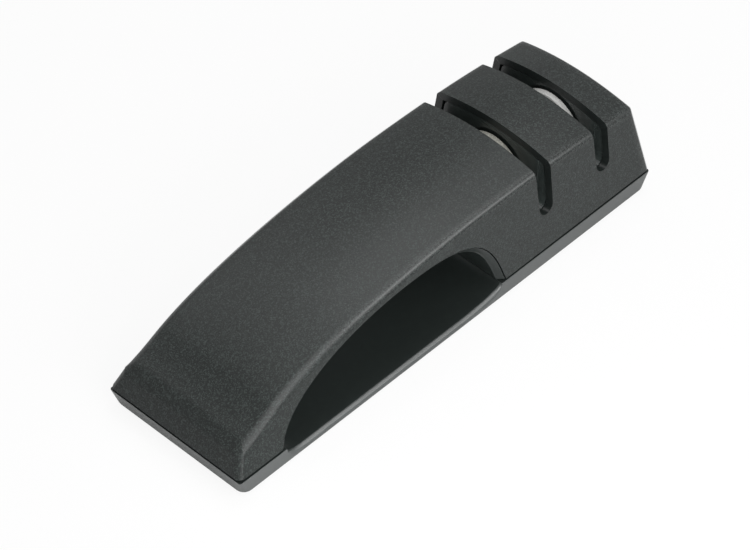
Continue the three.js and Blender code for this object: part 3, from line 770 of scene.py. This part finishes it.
def with_blocks(name, form, changes):
    """The form's mesh with its edges rounded, then each block form joined on or cut out."""
    raw = place_object(name, mesh_of(name, form))
    round_edges(raw)
    even_shading(raw)
    tools = []
    for operation, blocks in changes:
        tools.append(place_object(name + "_tool", mesh_of(name + "_tool", blocks)))
        change = raw.modifiers.new(operation, "BOOLEAN")
        change.operation = operation
        change.solver = "EXACT"
        change.object = tools[-1]
    view = bpy.context.evaluated_depsgraph_get()
    mesh = bpy.data.meshes.new_from_object(raw.evaluated_get(view))
    for item in [raw] + tools:
        bpy.data.objects.remove(item, do_unlink=True)
    return mesh


CORNERS = ("tail_near", "tail_far", "head_near", "head_far")
TONGUE_INSET = 3.7
TONGUE_WALL = 1.2
TONGUE_HEIGHT = 2.2
FOOT_DEPTH = 1.0
FOOT_RECESS = 5.85
SCREW_SINK = 2.85
SCREW_WAY = 1.5
SEAT_DEPTH = 2.6
SCREW_SEAT = -PARTING_GAP / 2 - SEAT_DEPTH
PILLAR_RADIUS = 3.85
TONGUE_ROOT = -1.5
TONGUE_CLEAR = 0.5
OVERLAP = 0.5
OVERRUN = 1.0
LEDGE_UP = 0.9

tongue = bmesh.new()
hollows = bmesh.new()
for start, stop in ((TONGUE_INSET, GRIP_TAIL - TONGUE_CLEAR),
                    (GRIP_HEAD + TONGUE_CLEAR, LENGTH - TONGUE_INSET)):
    half = HALF_WIDTH - TONGUE_INSET
    bar(tongue, (start, -half, TONGUE_ROOT), (stop, half, TONGUE_HEIGHT))
    bar(hollows, (start + TONGUE_WALL, TONGUE_WALL - half, BASE_FLOOR),
        (stop - TONGUE_WALL, half - TONGUE_WALL, TONGUE_HEIGHT + OVERRUN))
pillars = bmesh.new()
recesses = bmesh.new()
for place in CORNERS:
    hole(pillars, "base_screw_" + place, PILLAR_RADIUS, BASE_FLOOR - OVERLAP, -PARTING_GAP / 2)
    hole(recesses, "base_screw_" + place, SCREW_SINK, -BASE_HEIGHT - OVERRUN, SCREW_SEAT)
    hole(recesses, "base_screw_" + place, SCREW_WAY, SCREW_SEAT - OVERLAP, TONGUE_HEIGHT + OVERRUN)
    hole(recesses, "foot_" + place, FOOT_RECESS, -BASE_HEIGHT - OVERRUN, FOOT_DEPTH - BASE_HEIGHT)

base_plastic = moulded("smooth_black_plastic", (0.040, 0.0465, 0.045), roughness=0.33, grain=2.5,
                       depth=0.002, fleck=0.04, gloss=1.0)
tray = base_form()
weigh_edges(tray, base_round)
base_mesh = with_blocks("base_tray_shell", tray, (
    ("UNION", tongue), ("DIFFERENCE", hollows), ("UNION", pillars), ("DIFFERENCE", recesses)))
base = finish_piece("base_tray_shell", base_mesh, base_plastic, "body", "base_tray")
base.data.set_sharp_from_angle(angle=KEPT_SHARP)
even_shading(base)
# Painted shade: the scoop floor inside the opening and the upward faces at the seam take the darker, duller
# liner plastic. It stands in for the shade cast by the bridge and by the housing's overhang.
base.data.materials.append(liner_plastic_and_painted_shade)
scoop_half = (HALF_WIDTH - SCOOP_LIP) * MM
for face in base.data.polygons:
    in_opening = at(GRIP_TAIL, 0, 0).x < face.center.x < at(GRIP_HEAD, 0, 0).x
    in_shaded_scoop = in_opening and abs(face.center.y) < scoop_half and face.normal.z > 0
    in_shaded_seam = face.normal.z > LEDGE_UP and face.center.z > at(0, 0, -SEAM).z
    if in_shaded_scoop or in_shaded_seam:
        face.material_index = 1

# Wheel carrier and axle retainer
# One glossy black moulding fills the slot mouths and holds both axles; a plate screwed on from below
# keeps the axles in their seats.


def coat_node(node, material):
    """Gives a CAD node that is shown as it is its finish."""
    frame["nodes"][node].data.materials.clear()
    frame["nodes"][node].data.materials.append(material)


carrier_plastic = moulded("gloss_black_plastic", (0.038, 0.0467, 0.0443), roughness=0.26, grain=3.0,
                          depth=0.001, fleck=0.04, gloss=0.6)
coat_node("wheel_carrier", carrier_plastic)
coat_node("axle_retainer", carrier_plastic)

# Sharpening wheels
# Each stage has two grit wheels whose facing edges are bevelled to a V for the blade.
# The coarse pair is olive-grey grit, the fine pair white ceramic; both are pressed on a sleeve.
WHEEL_RADIUS = 13.5
WHEEL_WIDTH = 2.7
WHEEL_INNER = 0.3
WHEEL_LAND = 2.2
WHEEL_BEVEL_DEPTH = 1.8
WHEEL_BORE = 5.2
WHEEL_EDGE = 0.25
SPIN_STEPS = 96
WHEEL_SHARP = radians(50)


def turned(profile, centre, axis, across, count=SPIN_STEPS):
    """A form turned about an axis from points of (place along the axis, radius) in millimetres."""
    form = bmesh.new()
    verts = [form.verts.new(centre + (axis * along + across * radius) * MM) for along, radius in profile]
    edges = [form.edges.new(pair) for pair in zip(verts, verts[1:])]
    bmesh.ops.spin(form, geom=verts + edges, cent=centre, axis=axis, angle=2 * pi, steps=count,
                   use_merge=True)
    bmesh.ops.remove_doubles(form, verts=form.verts, dist=POINT_MERGE * MM)
    bmesh.ops.recalc_face_normals(form, faces=form.faces)
    return form


def soften(form, width, steepness=radians(30)):
    """Rounds every edge that is steeper than the given angle."""
    sharp = [edge for edge in form.edges if edge.calc_face_angle(0) > steepness]
    bmesh.ops.bevel(form, geom=sharp, offset=width * MM, offset_type="OFFSET", segments=3, profile=0.5,
                    affect="EDGES", material=-1)


def wheel_form(joint, side):
    wheel_outer = WHEEL_INNER + WHEEL_WIDTH
    profile = [(WHEEL_INNER, WHEEL_BORE), (WHEEL_INNER, WHEEL_RADIUS - WHEEL_BEVEL_DEPTH),
               (wheel_outer - WHEEL_LAND, WHEEL_RADIUS), (wheel_outer, WHEEL_RADIUS),
               (wheel_outer, WHEEL_BORE), (WHEEL_INNER, WHEEL_BORE)]
    axis = Vector(joint["axis"]).normalized()
    form = turned([(side * along, radius) for along, radius in profile], Vector(joint["pos_m"]), axis,
                  Vector((0, 0, 1)))
    soften(form, WHEEL_EDGE)
    return form


grits = {
    "coarse": moulded("olive_grit", (0.38, 0.375, 0.335), roughness=0.85, grain=0.35, depth=0.06,
                      fleck=0.3, gloss=0.3),
    "fine": moulded("white_ceramic", (0.56, 0.56, 0.545), roughness=0.55, grain=0.3, depth=0.015,
                    fleck=0.1, gloss=0.3),
}
joints = {joint["child"]: joint for joint in frame["joints"]}
for stage, grit in grits.items():
    for end, side in (("tail", -1), ("head", 1)):
        name = f"{stage}_grit_wheel_{end}"
        wheel_mesh = mesh_of(name, wheel_form(joints[stage + "_roll"], side))
        wheel = finish_piece(name, wheel_mesh, grit, stage + "_roll", f"{stage}_wheel_{end}")
        wheel.data.set_sharp_from_angle(angle=WHEEL_SHARP)

# Sleeves, axles and washers
# A dark nylon sleeve carries each wheel pair on a plain steel pin; pale nylon washers keep the pair
# clear of the carrier's cheeks.
sleeve_nylon = moulded("dark_nylon", (0.020, 0.021, 0.022), roughness=0.45, grain=1.2, depth=0.004,
                       fleck=0.15)
pin_steel = moulded("bright_steel", (0.56, 0.57, 0.58), roughness=0.24, grain=0.6, depth=0.002,
                    fleck=0.1, metallic=1.0)
washer_nylon = moulded("pale_nylon", (0.66, 0.65, 0.61), roughness=0.42, grain=1.0, depth=0.004,
                       fleck=0.06)
for stage in grits:
    coat_node(stage + "_hub", sleeve_nylon)
    coat_node(stage + "_axle", pin_steel)
    for end in ("tail", "head"):
        coat_node(f"{stage}_washer_{end}", washer_nylon)

# Screws
# Self-tapping steel screws with a cross recess, driven from below: four through the retainer into the
# carrier and four through the base into the housing's bosses.
SCREW_HEAD = 2.5
SCREW_HEAD_HEIGHT = 1.4
SCREW_SHANK = 1.3
SCREW_LENGTH = 9.0
DRIVE_REACH = 1.5
DRIVE_HALF = 0.33
DRIVE_DEPTH = 0.7
SCREW_EDGE = 0.5
SCREW_EDGE_BEND = 0.15
SCREW_SIDES = 32


def screw_mesh(name, node):
    low = middle_of(node)
    low.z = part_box(node)[0].z
    profile = [(0, 0), (0, SCREW_HEAD - SCREW_EDGE), (SCREW_EDGE_BEND, SCREW_HEAD - SCREW_EDGE_BEND),
               (SCREW_EDGE, SCREW_HEAD), (SCREW_HEAD_HEIGHT, SCREW_HEAD), (SCREW_HEAD_HEIGHT, SCREW_SHANK),
               (SCREW_LENGTH - SCREW_SHANK, SCREW_SHANK), (SCREW_LENGTH, SCREW_SHANK / 2), (SCREW_LENGTH, 0)]
    form = turned(profile, low, Vector((0, 0, 1)), Vector((1, 0, 0)), SCREW_SIDES)
    cuts = []
    for reach, half in ((DRIVE_REACH, DRIVE_HALF), (DRIVE_HALF, DRIVE_REACH)):
        drive = bmesh.new()
        spread = Matrix.Diagonal((2 * reach * MM, 2 * half * MM, 2 * DRIVE_DEPTH * MM, 1))
        bmesh.ops.create_cube(drive, size=1, matrix=Matrix.Translation(low) @ spread)
        cuts.append(("DIFFERENCE", drive))
    weigh_edges(form, lambda edge: 0)
    return with_blocks(name, form, cuts)


screw_steel = moulded("zinc_steel", (0.50, 0.51, 0.52), roughness=0.3, grain=0.8, depth=0.003,
                      fleck=0.12, metallic=1.0)
for kind in ("retainer_screw_", "base_screw_"):
    for place in CORNERS:
        name = "turned_" + kind + place
        screw = finish_piece(name, screw_mesh(name, kind + place), screw_steel, "body", kind + place)
        screw.data.set_sharp_from_angle(angle=KEPT_SHARP)

# Feet
# Four round rubber pads glued into recesses of the base; the sharpener stands on them.
FOOT_RADIUS = 5.5
FOOT_ROUND = 0.5
FOOT_SIDES = 64
foot_rubber = moulded("black_rubber", (0.018, 0.018, 0.0185), roughness=0.8, grain=0.7, depth=0.03,
                      fleck=0.25)
for place in CORNERS:
    low = middle_of("foot_" + place)
    low.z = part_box("foot_" + place)[0].z
    height = (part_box("foot_" + place)[1].z - low.z) / MM
    profile = [(0, 0), (0, FOOT_RADIUS), (height, FOOT_RADIUS), (height, 0)]
    foot_form = turned(profile, low, Vector((0, 0, 1)), Vector((1, 0, 0)), FOOT_SIDES)
    soften(foot_form, FOOT_ROUND)
    name = "rubber_foot_" + place
    foot = finish_piece(name, mesh_of(name, foot_form), foot_rubber, "body", "foot_" + place)
    foot.data.set_sharp_from_angle(angle=KEPT_SHARP)
